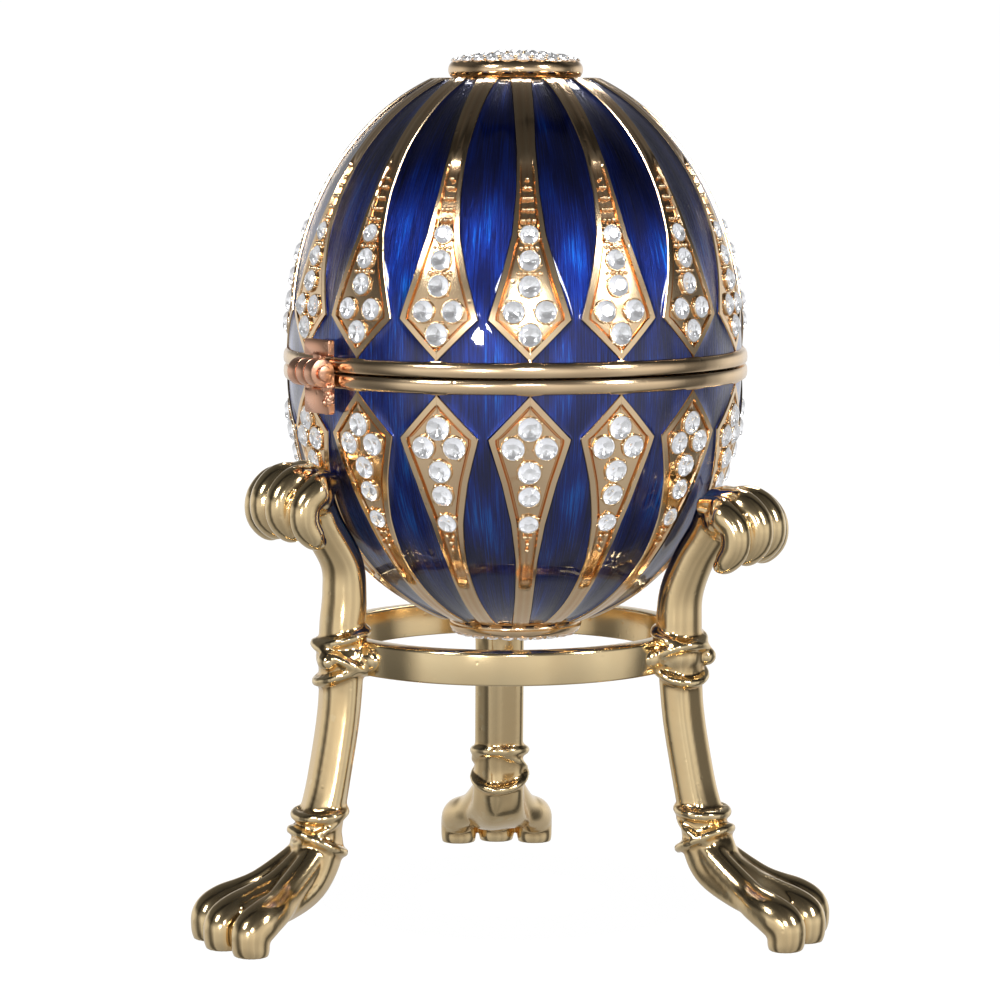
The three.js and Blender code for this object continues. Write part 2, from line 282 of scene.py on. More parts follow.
def enamel_material():
    """Clear cobalt enamel over upright engine-turned streaks in the metal. To match the photo, its colour
    carries painted light and shade by height: brighter about the seam, darker towards the poles."""
    material, nodes, links, shader = new_material("cobalt_enamel")
    set_inputs(shader, {"Metallic": 0.85, "Roughness": 0.3, "Coat Weight": 1.0, "Coat Roughness": 0.03,
                        "Coat IOR": 1.6})
    place = node(nodes, "ShaderNodeUVMap")
    fine = node(nodes, "ShaderNodeMapping", Scale=(7.0, 0.2, 1))
    links.new(place.outputs["UV"], fine.inputs["Vector"])
    streaks = node(nodes, "ShaderNodeTexNoise", Scale=1.0, Detail=4.0, Roughness=0.65)
    links.new(fine.outputs["Vector"], streaks.inputs["Vector"])
    broad = node(nodes, "ShaderNodeMapping", Scale=(0.35, 0.13, 1))
    links.new(place.outputs["UV"], broad.inputs["Vector"])
    clouds = node(nodes, "ShaderNodeTexNoise", Scale=1.0, Detail=1.0)
    links.new(broad.outputs["Vector"], clouds.inputs["Vector"])
    mixed = node(nodes, "ShaderNodeMath", operation="MULTIPLY_ADD")
    mixed.inputs[1].default_value = 0.6
    links.new(streaks.outputs["Fac"], mixed.inputs[0])
    lighter = node(nodes, "ShaderNodeMath", operation="MULTIPLY")
    lighter.inputs[1].default_value = 0.5
    links.new(clouds.outputs["Fac"], lighter.inputs[0])
    links.new(lighter.outputs[0], mixed.inputs[2])
    level = node(nodes, "ShaderNodeTexCoord")
    split = node(nodes, "ShaderNodeSeparateXYZ")
    links.new(level.outputs["Object"], split.inputs[0])
    lowest, highest = 0.028, 0.084  # metres, just past the enamel's two ends
    share = node(nodes, "ShaderNodeMapRange", **{"From Min": lowest, "From Max": highest})
    links.new(split.outputs["Z"], share.inputs["Value"])
    # Painted light and shade by height: brighter about the seam, darker towards the poles.
    painted_light = grey_ramp(nodes, [(0.0, 0.45), (0.15, 0.5), (0.24, 0.95), (0.48, 0.8), (0.64, 0.8), (0.74, 0.55),
                            (0.86, 0.3), (1.0, 0.25)])
    links.new(share.outputs["Result"], painted_light.inputs["Fac"])
    shown = node(nodes, "ShaderNodeMath", operation="MULTIPLY_ADD")
    shown.inputs[1].default_value = 0.14
    links.new(painted_light.outputs["Color"], shown.inputs[0])
    links.new(mixed.outputs[0], shown.inputs[2])
    colours = ramp(nodes, [
        (0.42, (0.0003, 0.0015, 0.022)),
        (0.60, (0.0006, 0.006, 0.085)),
        (0.72, (0.001, 0.022, 0.24)),
        (0.84, (0.003, 0.13, 0.6)),
    ])
    links.new(shown.outputs[0], colours.inputs["Fac"])
    links.new(colours.outputs["Color"], shader.inputs["Base Color"])
    bump = node(nodes, "ShaderNodeBump", Strength=0.9, Distance=0.00008)
    links.new(streaks.outputs["Fac"], bump.inputs["Height"])
    links.new(bump.outputs["Normal"], shader.inputs["Normal"])
    return material


def crystal_materials():
    """Clear crown and silvered back of a cut stone. The back's faint glow stands in for the light
    that a deep cut returns."""
    clear, _, _, shader = new_material("crystal_crown")
    set_inputs(shader, {"Base Color": (1, 1, 1, 1), "Roughness": 0.0, "IOR": 1.56,
                        "Transmission Weight": 1.0})
    back, _, _, shader = new_material("crystal_foil")
    set_inputs(shader, {"Base Color": (0.94, 0.95, 0.98, 1), "Metallic": 1.0, "Roughness": 0.08,
                        "Emission Color": (1, 1, 1, 1), "Emission Strength": 0.22})
    return clear, back


# Each plating's second colour is its painted shade colour, used in hollows.
EGG_GOLD = gold("rose_gold_plating", (0.90, 0.68, 0.43), (0.70, 0.33, 0.12), 0.15, 0.25)
STAND_GOLD = gold("champagne_plating", (0.86, 0.68, 0.40), (0.72, 0.42, 0.14), 0.13, 0.2)
COPPER = gold("copper_solder", (0.88, 0.50, 0.33), (0.62, 0.24, 0.12), 0.25, 0.5)
ENAMEL = enamel_material()
CRYSTAL = crystal_materials()

# ---------------------------------------------------------------- the egg's surface

SEAM_Z = 55.5
SEAM_GAP = 0.16
EGG_RADIUS = 22.8
WALL = 2.0
BAND_RADIUS = 23.1
DISC_RADIUS = 6.7
KITES = 16
KITE_TURN = math.radians(3.5)
PITCH = 2 * math.pi / KITES
RECESS_DEPTH = 0.85
POLE_RUN = 1.1
TIP_HALF = 0.12

# Each half's heights are counted from the seam. edge lists a kite's height and half width, stones
# their height, offset and size, and beads a row's height, reach to each side and count. The bed of
# the stones ends at bed_end, and beyond channel it is one narrow channel.
LID = dict(
    name="lid", up=1, height=30.0, power=2.2, flat=28.1, tip=1.6, corner=5.5, neck=17.3,
    edge=[(5.5, 4.03), (9.6, 2.72), (13.4, 1.68), (17.3, 1.18), (21.3, 0.96), (28.1, 1.05)],
    floor=1.9, bed_end=20.3, channel=14.3,
    stones=[(4.1, 0, 2.1), (6.25, -1.5, 2.0), (6.25, 1.5, 2.0), (8.6, 0, 2.0), (11.0, 0, 1.9),
            (13.4, 0, 1.7)],
    beads=[(9.8, 1.0, 5), (12.2, 0.75, 4), (14.75, 0.5, 3), (15.75, 0.42, 3), (16.8, 0.36, 3),
           (17.8, 0.2, 2), (18.6, 0.0, 1)],
)
BOWL = dict(
    name="base", up=-1, height=27.0, power=2.2, flat=25.4, tip=1.6, corner=5.75, neck=17.3,
    edge=[(5.75, 4.03), (10.0, 2.68), (14.0, 1.7), (18.0, 1.1), (22.0, 0.95), (25.4, 0.9)],
    floor=2.2, bed_end=20.6, channel=15.0,
    stones=[(4.75, 0, 2.2), (6.6, -1.54, 2.1), (6.6, 1.54, 2.1), (8.9, 0, 2.1), (11.25, 0, 2.0),
            (14.0, 0, 1.8)],
    beads=[(15.4, 0.3, 2), (16.1, 0.0, 1), (16.8, 0.0, 1)],
)


def polar(radius, azimuth, z):
    return (radius * math.sin(azimuth), -radius * math.cos(azimuth), z)


def egg_radius(half, height):
    return EGG_RADIUS * math.sqrt(1 - (height / half["height"]) ** half["power"])


def egg_normal(half, height):
    radial = 2 * egg_radius(half, height) / EGG_RADIUS ** 2
    along = half["power"] / half["height"] * (height / half["height"]) ** (half["power"] - 1)
    return Vector((radial, along)).normalized()


def surface_radius(half, height):
    beyond = max(height - half["flat"], 0)
    return egg_radius(half, height - beyond) - beyond


def egg_point(half, height, azimuth, depth):
    normal = Vector((0, 1)) if height > half["flat"] else egg_normal(half, max(height, 0.01))
    radius = surface_radius(half, height) - depth * normal.x
    along = min(height, half["flat"]) - depth * normal.y
    return polar(radius, azimuth, SEAM_Z + half["up"] * along)


def lerp(a, b, t):
    return a + (b - a) * t


def kite_half_width(half, height):
    heights = [half["tip"]] + [point[0] for point in half["edge"]]
    widths = [TIP_HALF] + [point[1] for point in half["edge"]]
    return float(np.interp(height, heights, widths))


def pattern_heights(half):
    """Heights of the rows of points, closer together round the kite's broad end."""
    rows = list(np.arange(half["tip"], half["corner"], 0.3))
    rows += list(np.linspace(half["corner"], half["neck"], 26))
    rows += list(np.linspace(half["neck"], half["flat"], 20))[1:]
    rows += [half["flat"] + POLE_RUN * 0.5, half["flat"] + POLE_RUN]
    return [float(row) for row in rows]


# From a kite's edge inwards: distance, share of the half width it may reach, depth, and painted shade, which
# runs darker and more copper where the point lies deeper.
# The first rows are the flat border; the rest sink only where the kite carries its bed of stones.
BORDER_ROWS = 4
LEDGE_ROWS = 6
CHANNEL_DEPTH = 0.32
KITE_SECTION = [
    (0.00, 0.00, RECESS_DEPTH, 1.0),
    (0.03, 0.04, 0.14, 0.0),
    (0.12, 0.13, 0.00, 0.0),
    (0.62, 0.36, 0.00, 0.0),
    (0.72, 0.46, 0.30, 0.65),
    (0.84, 0.54, 0.30, 0.65),
    (0.92, 0.62, 0.14, 0.1),
    (1.20, 0.74, 0.14, 0.05),
]
CELL_COLUMNS = 3


def ring_of_pattern(half, height):
    """One row of the casting's outside, with how deep each point lies in the bed and each point's painted
    shade.
    """
    half_width = kite_half_width(half, height)
    radius = surface_radius(half, height)
    before_end = min(max((half["bed_end"] - height) / 0.4, 0), 1)
    past_tip = min(max((height - half["tip"] - 0.9) / 0.3, 0), 1)
    bed = before_end * past_tip
    crown = 0.06 if height > half["bed_end"] else 0.0
    blunt = float(np.interp(height, (half["corner"] - 0.3, half["corner"] + 0.3), (1, 0)))
    channel = float(np.interp(height, (half["channel"] - 0.3, half["channel"] + 0.3), (0, 1)))
    points, values = [], []
    for kite in range(KITES):
        middle = KITE_TURN + kite * PITCH
        columns = []
        for number, (inward, share, depth, shade_amount) in enumerate(KITE_SECTION):
            limit = lerp(share, 1 - 0.1 * (1 - share), blunt) * half_width
            distance = min(inward * lerp(1.05, 1.4, blunt), limit)
            if number >= LEDGE_ROWS:
                depth = lerp(depth, CHANNEL_DEPTH, channel)
            if number >= BORDER_ROWS:
                depth, shade_amount = depth * bed, shade_amount * bed
            columns.append((half_width - distance, depth, shade_amount))
        middle_depth = lerp(-crown, lerp(0.17, CHANNEL_DEPTH, channel), bed)
        # The middle's painted shade grows where the bed narrows into its channel.
        columns.append((0.0, middle_depth, bed * lerp(0.08, 0.5, channel)))
        across = [(-w, d, v) for w, d, v in columns] + [(w, d, v) for w, d, v in reversed(columns[:-1])]
        for offset, depth, value in across:
            points.append(egg_point(half, height, middle + offset / radius, depth))
            # Points deep in the recess take full painted shade.
            values.append(value if depth < 0.5 else 1.0)
        gap = PITCH - 2 * half_width / radius
        for i in range(1, CELL_COLUMNS + 1):
            azimuth = middle + half_width / radius + gap * i / (CELL_COLUMNS + 1)
            points.append(egg_point(half, height, azimuth, RECESS_DEPTH))
            # The cells' floors take full painted shade.
            values.append(1.0)
    return points, values


def plain_ring(radius, z, count):
    """A round row whose points line up with those of a patterned row."""
    columns = count // KITES
    section = 2 * len(KITE_SECTION) + 1
    points = []
    for kite in range(KITES):
        for i in range(columns):
            if i < section:
                share = (i / section - 0.5) * 0.4
            else:
                share = 0.2 + 0.6 * (i - section + 1) / (columns - section + 1)
            points.append(polar(radius, KITE_TURN + (kite + share) * PITCH, z))
    return points


def cavity_profile(half):
    """The hollow's wall, from the rim to the floor."""
    steps = 14
    radius = EGG_RADIUS - WALL
    depth = half["flat"] - half["floor"]
    height = depth * 1.055
    profile = [(radius, SEAM_Z + half["up"] * SEAM_GAP / 2)]
    for i in range(1, steps + 1):
        h = depth * math.sin(i / steps * math.pi / 2)
        r = radius * math.sqrt(1 - (h / height) ** half["power"])
        profile.append((r, SEAM_Z + half["up"] * h))
    return profile


# The rim band's section: how far past the band's radius, and how far from the seam
BAND_SECTION = [(-0.35, 0.0), (-0.12, 0.05), (0.0, 0.22), (0.03, 0.6), (0.0, 1.0), (-0.1, 1.25),
                (-0.3, 1.42)]


def casting(half):
    """The hollow casting of one half: rim band, kites, ribs and the cells' floors."""
    up = half["up"]
    rows, painted_shades = [], []
    first, values = ring_of_pattern(half, half["tip"])
    count = len(first)

    def add_row(points, row_values=None):
        rows.append(points)
        painted_shades.append(row_values or [0.0] * count)

    seam = SEAM_Z + up * SEAM_GAP / 2
    for radius, z in reversed(cavity_profile(half)):
        add_row(plain_ring(radius, z, count))
    add_row(plain_ring(EGG_RADIUS - WALL + 0.15, seam, count))
    for radius, rise in BAND_SECTION:
        add_row(plain_ring(BAND_RADIUS + radius, seam + up * rise, count))
    # Patterned rows carry painted shade in their recesses; the rim and the hollow carry none.
    for height in pattern_heights(half):
        points, values = ring_of_pattern(half, height)
        add_row(points, values)
    add_row(plain_ring(DISC_RADIUS, SEAM_Z + up * half["flat"], count))
    points = [p for row in rows for p in row]
    values = [v for row in painted_shades for v in row]
    faces = grid_faces(len(rows), count, True)
    floor = SEAM_Z + up * (half["flat"] - half["floor"])
    points += [(0, 0, floor), (0, 0, SEAM_Z + up * half["flat"])]
    values += [0.0, 0.0]
    last = (len(rows) - 1) * count
    hub_in, hub_out = len(points) - 2, len(points) - 1
    for i in range(count):
        j = (i + 1) % count
        faces.append((hub_in, j, i))
        faces.append((hub_out, last + i, last + j))
    if up < 0:
        faces = flipped(faces)
    shape = Shape().add(points, faces, 0, values)
    name = half["name"]
    make(f"{name}_casting", shape, name, [EGG_GOLD], EGG_CENTRE,
         replaced=[f"{name}_shell"], sharp=42)


# How far the enamel runs in under the metal beside it, its middle's depth and how much its sides
# are drawn up, its underside's depth, and its two ends
ENAMEL_OVERLAP = 0.02
ENAMEL_DEPTH = 0.24
ENAMEL_RISE = 0.12
ENAMEL_UNDERSIDE = 0.8
ENAMEL_START = 1.48
ENAMEL_STOP = 0.12
# Each cell's streaks are taken from another part of the pattern
SHIFT_ROUND = 9.7
SHIFT_UP = 31.0


def enamel_cell(half, cell):
    """One cell's enamel, drawn up a little against the metal round it."""
    name = half["name"]
    columns = 9
    end = half["flat"] + POLE_RUN - ENAMEL_STOP
    heights = [ENAMEL_START] + [h for h in pattern_heights(half) if h > half["tip"]][:-1] + [end]
    top, back, coordinates = [], [], []
    for height in heights:
        radius = surface_radius(half, height)
        edge = kite_half_width(half, max(height, half["tip"])) - ENAMEL_OVERLAP
        left = KITE_TURN + cell * PITCH + edge / radius
        right = KITE_TURN + (cell + 1) * PITCH - edge / radius
        for i in range(columns):
            t = i / (columns - 1)
            azimuth = lerp(left, right, t)
            depth = ENAMEL_DEPTH - ENAMEL_RISE * (2 * t - 1) ** 6
            top.append(egg_point(half, height, azimuth, depth))
            back.append(egg_point(half, height, azimuth, ENAMEL_UNDERSIDE))
            coordinates.append((cell * SHIFT_ROUND + azimuth * EGG_RADIUS, height + cell * SHIFT_UP))
    count = len(top)
    faces = grid_faces(len(heights), columns, False)
    under = [tuple(count + i for i in face) for face in flipped(faces)]
    rim = list(range(columns))
    rim += [row * columns + columns - 1 for row in range(1, len(heights))]
    rim += [count - 1 - i for i in range(1, columns)]
    rim += [row * columns for row in range(len(heights) - 2, 0, -1)]
    following = rim[1:] + rim[:1]
    faces = faces + under + [(a, count + a, count + b, b) for a, b in zip(rim, following)]
    if half["up"] < 0:
        faces = flipped(faces)
    number = f"{cell + 1:02d}"
    shape = Shape().add(top + back, faces)
    piece = make(f"{name}_cell_{number}", shape, name, [ENAMEL], EGG_CENTRE,
                 replaced=[f"{name}_enamel_{number}"], sharp=50)
    layer = piece.data.uv_layers.new(name="UVMap")
    both = coordinates + coordinates
    for loop in piece.data.loops:
        layer.data[loop.index].uv = both[loop.vertex_index]


# ---------------------------------------------------------------- stones and beads


STONE_LIFT = 0.06
STONE_SPREAD = 1.04
STONE_SPIN = 0.78
BEAD_DEPTH = 0.12


def stone_points(size, spin):
    """A round cut stone of radius 1 scaled to its size: table, crown, girdle and back."""
    radius = size / 2
    points = []
    for k in range(8):
        points.append((0.56, math.radians(45 * k) + spin, 0.36))
    for k in range(8):
        points.append((0.81, math.radians(45 * k + 22.5) + spin, 0.22))
    for k in range(16):
        points.append((1.0, math.radians(22.5 * k) + spin, 0.0))
    points.append((0.0, 0.0, -0.21))
    return [(r * radius * math.cos(a), r * radius * math.sin(a), h * radius) for r, a, h in points]


def stone_faces():
    crown = [tuple(range(8))]
    back = []
    for k in range(8):
        table, next_table = k, (k + 1) % 8
        middle, last_middle = 8 + k, 8 + (k - 1) % 8
        girdle = [16 + (2 * k + i) % 16 for i in range(3)]
        crown.append((table, middle, next_table))
        crown.append((table, last_middle, girdle[0], middle))
        crown.append((middle, girdle[0], girdle[1]))
        crown.append((middle, girdle[1], girdle[2]))
        back.append((32, girdle[1], girdle[0]))
        back.append((32, girdle[2], girdle[1]))
    return crown, back


STONE_CROWN, STONE_BACK = stone_faces()


def ball(radius, rings=6, segments=10):
    points = [(0, 0, radius)]
    for i in range(1, rings):
        a = math.pi * i / rings
        for j in range(segments):
            b = 2 * math.pi * j / segments
            x = radius * math.sin(a) * math.cos(b)
            y = radius * math.sin(a) * math.sin(b)
            points.append((x, y, radius * math.cos(a)))
    points.append((0, 0, -radius))
    faces = [(0, 1 + j, 1 + (j + 1) % segments) for j in range(segments)]
    for i in range(rings - 2):
        for j in range(segments):
            a = 1 + i * segments + j
            b = 1 + i * segments + (j + 1) % segments
            faces.append((a, a + segments, b + segments, b))
    end = len(points) - 1
    base = 1 + (rings - 2) * segments
    faces += [(end, base + (j + 1) % segments, base + j) for j in range(segments)]
    return points, faces


def placed_on(points, origin, normal):
    """Points turned from the +Z axis onto a normal and moved to an origin."""
    turn = normal.to_track_quat("Z", "Y").to_matrix()
    return [tuple(turn @ Vector(p) + origin) for p in points]


def add_ball(shape, origin, radius, rings=6, segments=10):
    points, faces = ball(radius, rings, segments)
    shape.add([tuple(Vector(p) + origin) for p in points], faces)


def add_stone(shape, origin, axis, size, spin):
    points = placed_on(stone_points(size, spin), origin, axis)
    shape.add(points, STONE_CROWN, 0)
    shape.add(points, STONE_BACK, 1)


def make_setting(name, body, stones, grains):
    """A field of stones and the metal that holds them, as two pieces."""
    make(f"{name}_stones", merged(stones), body, list(CRYSTAL), EGG_CENTRE, sharp=0)
    make(f"{name}_grains", grains, body, [EGG_GOLD], EGG_CENTRE)


def outward(half, height, azimuth):
    normal = egg_normal(half, height)
    return Vector(polar(normal.x, azimuth, half["up"] * normal.y))


def stones_and_beads(half):
    rng = random.Random(7 if half["up"] > 0 else 11)
    stones, beads = Shape(), Shape()
    for kite in range(KITES):
        middle = KITE_TURN + kite * PITCH
        for height, offset, size in half["stones"]:
            azimuth = middle + (offset + rng.uniform(-0.04, 0.04)) / egg_radius(half, height)
            normal = outward(half, height, azimuth)
            tilt = Vector([rng.uniform(-1, 1) for _ in range(3)]) * 0.06
            axis = (normal + tilt).normalized()
            origin = Vector(egg_point(half, height, azimuth, -STONE_LIFT))
            add_stone(stones, origin, axis, size * STONE_SPREAD, rng.uniform(0, STONE_SPIN))
            seat(beads, origin, normal, size)
            grains = 4 if offset == 0 else 3
            start = rng.uniform(0, 0.5) + math.radians(45)
            for i in range(grains):
                turn = start + 2 * math.pi * i / grains
                grain(beads, half, height, azimuth, size, turn, rng)
        for height, reach, count in half["beads"]:
            for offset in np.linspace(-reach, reach, count):
                azimuth = middle + offset / egg_radius(half, height)
                origin = Vector(egg_point(half, height, azimuth, BEAD_DEPTH))
                add_ball(beads, origin, rng.uniform(0.2, 0.27))
    make_setting(half["name"], half["name"], stones, beads)


def merged(shape):
    """Joins points that were added twice, once for each material."""
    seen, index, points = {}, [], []
    for point in shape.points:
        key = tuple(round(c, 5) for c in point)
        if key not in seen:
            seen[key] = len(points)
            points.append(point)
        index.append(seen[key])
    shape.faces = [tuple(index[i] for i in face) for face in shape.faces]
    shape.points = points
    shape.values = [0.0] * len(points)
    return shape


def grain(beads, half, height, azimuth, size, turn, rng):
    """One drop of metal pushed over a stone's edge."""
    reach = size / 2 + 0.12
    h = height + reach * math.sin(turn) * 0.95
    a = azimuth + reach * math.cos(turn) / egg_radius(half, h)
    add_ball(beads, Vector(egg_point(half, h, a, BEAD_DEPTH)), rng.uniform(0.17, 0.24), 5, 8)


def seat(shape, origin, normal, size):
    """The bright-cut rim that holds a stone."""
    segments, section = 20, 6
    points = []
    for i in range(segments):
        a = 2 * math.pi * i / segments
        for j in range(section):
            b = 2 * math.pi * j / section
            r = size / 2 + 0.08 + 0.09 * math.cos(b)
            points.append((r * math.cos(a), r * math.sin(a), 0.16 * math.sin(b) - 0.14))
    shape.add(placed_on(points, origin, normal), torus_faces(segments, section))


def pole_disc(half, name, node_name, rim_height, dome, size):
    """The disc at a pole: a plated rim round a close setting of small stones."""
    up = half["up"]
    seat_z = half["flat"] + 0.05
    corners = [
        (0, 0.0, 0), (DISC_RADIUS - 0.35, 0.0, 0.2), (DISC_RADIUS, 0.35 * rim_height, 0.25),
        (DISC_RADIUS - 0.05, rim_height * 0.72, 0.25), (DISC_RADIUS - 0.4, rim_height, 0.15),
        (DISC_RADIUS - 0.85, rim_height, 0.1),
        (0, rim_height + dome * 0.35, 0),
    ]
    profile = [(r, SEAM_Z + up * (seat_z + z)) for r, z in rounded_profile(corners)]
    if up > 0:
        profile.reverse()
    disc = turned_shape(profile)
    disc.faces = flipped(disc.faces)
    make(name, disc, half["name"], [EGG_GOLD], EGG_CENTRE, replaced=[node_name], sharp=40)
    rng = random.Random(5)
    stones, grains = Shape(), Shape()
    for ring, count in ((0.0, 1), (1.62, 6), (3.2, 12), (4.75, 18), (5.85, 24)):
        for i in range(count):
            turn = 2 * math.pi * (i + 0.5 * (ring > 4)) / count
            fall = dome * 0.55 * (ring / DISC_RADIUS) ** 2
            small = size if ring < 5 else size * 0.86
            z = seat_z + rim_height + dome * 0.5 - fall
            origin = Vector(polar(ring, turn, SEAM_Z + up * z))
            axis = Vector(polar(0.25 * ring / DISC_RADIUS, turn, up)).normalized()
            tilt = Vector((rng.uniform(-1, 1), rng.uniform(-1, 1), 0)) * 0.1
            add_stone(stones, origin, (axis + tilt).normalized(), small, rng.uniform(0, STONE_SPIN))
            if ring > 1:
                between = turn + math.pi / count
                origin = Vector(polar(ring, between, SEAM_Z + up * (z + 0.02)))
                add_ball(grains, origin, 0.2, 5, 8)
    make_setting(name, half["name"], stones, grains)


for half_shell in (LID, BOWL):
    casting(half_shell)
    for cell_number in range(KITES):
        enamel_cell(half_shell, cell_number)
    stones_and_beads(half_shell)
pole_disc(LID, "top_disc", "top_jewel_disc", 1.65, 1.7, 1.5)
pole_disc(BOWL, "bottom_disc", "bottom_jewel_disc", 1.5, 0.85, 1.4)

# ---------------------------------------------------------------- hinge

HINGE_TURN = KITE_TURN - 2.5 * PITCH
HINGE_REACH = 24.6
HINGE_Z = 55.6
BARREL_RADIUS = 1.35
BARREL_LENGTH = 4.2
MIDDLE_KNUCKLE = 1.3
LEAF_REACH = 23.3
LEAF_THICKNESS = 0.65
LID_LEAF_TOP = 58.7
BASE_LEAF_BOTTOM = 51.6
LEAF_CLEARANCE = 1.55
STRAP_LENGTH = 2.0
KNUCKLE_GAP = 0.1
PIN_RADIUS = 0.5
PIN_HEAD_RADIUS = 0.75


def drum(shape, x0, x1, radius, rounding=0.12):
    """A short cylinder along X with rounded ends, at the hinge's axis."""
    profile = [(0, x0), (radius - rounding, x0), (radius - rounding * 0.3, x0 + rounding * 0.3),
               (radius, x0 + rounding), (radius, x1 - rounding),
               (radius - rounding * 0.3, x1 - rounding * 0.3), (radius - rounding, x1), (0, x1)]
    part = turned_shape(profile, 32)
    points = [(z, x - HINGE_REACH, y + HINGE_Z) for x, y, z in part.points]
    return shape.add(points, part.faces)


def slab(shape, x0, x1, y0, y1, z0, z1):
    """A block with bevelled edges in X and Z."""
    rounding = 0.15
    outline = [(x0 + rounding, z0), (x1 - rounding, z0), (x1, z0 + rounding), (x1, z1 - rounding),
               (x1 - rounding, z1), (x0 + rounding, z1), (x0, z1 - rounding), (x0, z0 + rounding)]
    inset = rounding * 0.6
    mx, mz = (x0 + x1) / 2, (z0 + z1) / 2
    shrink_x = 1 - inset / max(x1 - mx, 0.2)
    shrink_z = 1 - inset / max(z1 - mz, 0.2)
    small = [(mx + (x - mx) * shrink_x, mz + (z - mz) * shrink_z) for x, z in outline]
    points = [(x, y0, z) for x, z in small] + [(x, y0 + inset, z) for x, z in outline]
    points += [(x, y1, z) for x, z in outline]
    n = len(outline)
    faces = [tuple(range(n)), tuple(reversed(range(2 * n, 3 * n)))]
    for ring in range(2):
        for i in range(n):
            j = (i + 1) % n
            faces.append((ring * n + j, ring * n + i, (ring + 1) * n + i, (ring + 1) * n + j))
    return shape.add(points, faces)


def hinge():
    """Two leaves with their knuckles, the rivet through them, and the rough solder below."""
    half, middle = BARREL_LENGTH / 2, MIDDLE_KNUCKLE / 2
    front, back = -LEAF_REACH - LEAF_THICKNESS, -LEAF_REACH
    lid = Shape()
    drum(lid, -middle, middle, BARREL_RADIUS)
    slab(lid, -middle, middle, front, back, HINGE_Z, HINGE_Z + STRAP_LENGTH)
    slab(lid, -half, half, front, back, HINGE_Z + LEAF_CLEARANCE, LID_LEAF_TOP)
    make("hinge_lid_side", lid, "lid", [COPPER], EGG_CENTRE, HINGE_TURN,
         ["hinge_leaf_lid"], sharp=40)
    base = Shape()
    slab(base, -half, half, front, back, BASE_LEAF_BOTTOM, HINGE_Z - LEAF_CLEARANCE)
    for side in (-1, 1):
        x0, x1 = sorted((side * (middle + KNUCKLE_GAP), side * half))
        drum(base, x0, x1, BARREL_RADIUS)
        slab(base, x0, x1, front, back, HINGE_Z - STRAP_LENGTH, HINGE_Z)
    make("hinge_base_side", base, "base", [COPPER], EGG_CENTRE, HINGE_TURN,
         ["hinge_leaf_base"], sharp=40)
    pin = Shape()
    drum(pin, -half - 0.2, half + 0.2, PIN_RADIUS)
    drum(pin, -half - 0.45, -half - 0.1, PIN_HEAD_RADIUS, 0.15)
    drum(pin, half + 0.1, half + 0.45, PIN_HEAD_RADIUS, 0.15)
    make("hinge_rivet", pin, "base", [COPPER], EGG_CENTRE, HINGE_TURN, ["hinge_pin"], sharp=40)
    rng = random.Random(3)
    solder = Shape()
    for _ in range(26):
        x = rng.uniform(1.2, 2.2)
        z = rng.uniform(52.6, 54.3)
        radius = rng.uniform(0.22, 0.42)
        origin = Vector((x, -LEAF_REACH - LEAF_THICKNESS * rng.uniform(0.3, 1.0), z))
        add_ball(solder, origin, radius, 6, 8)
    make("hinge_solder", solder, "base", [COPPER], EGG_CENTRE, HINGE_TURN)


hinge()

# ---------------------------------------------------------------- stand

RING_INNER = 16.35
RING_OUTER = 18.2
RING_BOTTOM = 25.7
RING_TOP = 29.0
JOINT_TURN = 0.03
JOINT_DEPTH = 0.08
JOINT_WIDTH = 0.12


def ring():
    """The ring, bent from a strip, with the faint seam where its ends meet in front."""
    corners = [
        (RING_INNER, RING_BOTTOM + 0.6, 0), (RING_INNER, RING_BOTTOM, 0.15), (RING_OUTER, RING_BOTTOM, 0.2),
        (RING_OUTER, RING_TOP, 0.45), (RING_INNER, RING_TOP, 0.25), (RING_INNER, RING_BOTTOM + 0.6, 0),
    ]
    shape = turned_shape(rounded_profile(corners), 160)
    points = []
    for x, y, z in shape.points:
        turn = math.atan2(x, -y)
        seam = JOINT_DEPTH * math.exp(-((turn - JOINT_TURN) * 17 / JOINT_WIDTH) ** 2)
        scale = 1 - seam / math.hypot(x, y)
        points.append((x * scale, y * scale, z))
    shape.points = points
    make("ring_strip", shape, "base", [STAND_GOLD], STAND_CENTRE,
         replaced=["stand_ring"], sharp=40)


ring()

LEG_VOXEL = 0.2
FOOT_PIVOT = 24
TOE_PITCH = 4.2
GROOVE_START = 30.5
GROOVE_TOP = 4.2
GROOVE_REACH = 0.5
LEGS = [
    dict(name="leg_left", turn=-57.7, paw_lift=1.2, foot_turn=0.0, sole=-0.4),
    dict(name="leg_right", turn=62.3, paw_lift=-1.2, foot_turn=7.0, sole=0.45),
    dict(name="leg_back", turn=182.3, paw_lift=0.0, foot_turn=0.0, sole=0.0),
]


def through(stations, steps):
    """A smooth run of stations through the given ones."""
    rows = np.array(stations, float)
    result = []
    last = len(rows) - 1
    for i in range(last):
        p0, p1, p2, p3 = rows[max(i - 1, 0)], rows[i], rows[i + 1], rows[min(i + 2, last)]
        for step in range(steps):
            t = step / steps
            result.append(0.5 * (2 * p1 + (p2 - p0) * t + (2 * p0 - 5 * p1 + 4 * p2 - p3) * t * t
                                 + (3 * p1 - p0 - 3 * p2 + p3) * t ** 3))
    result.append(rows[last])
    return result


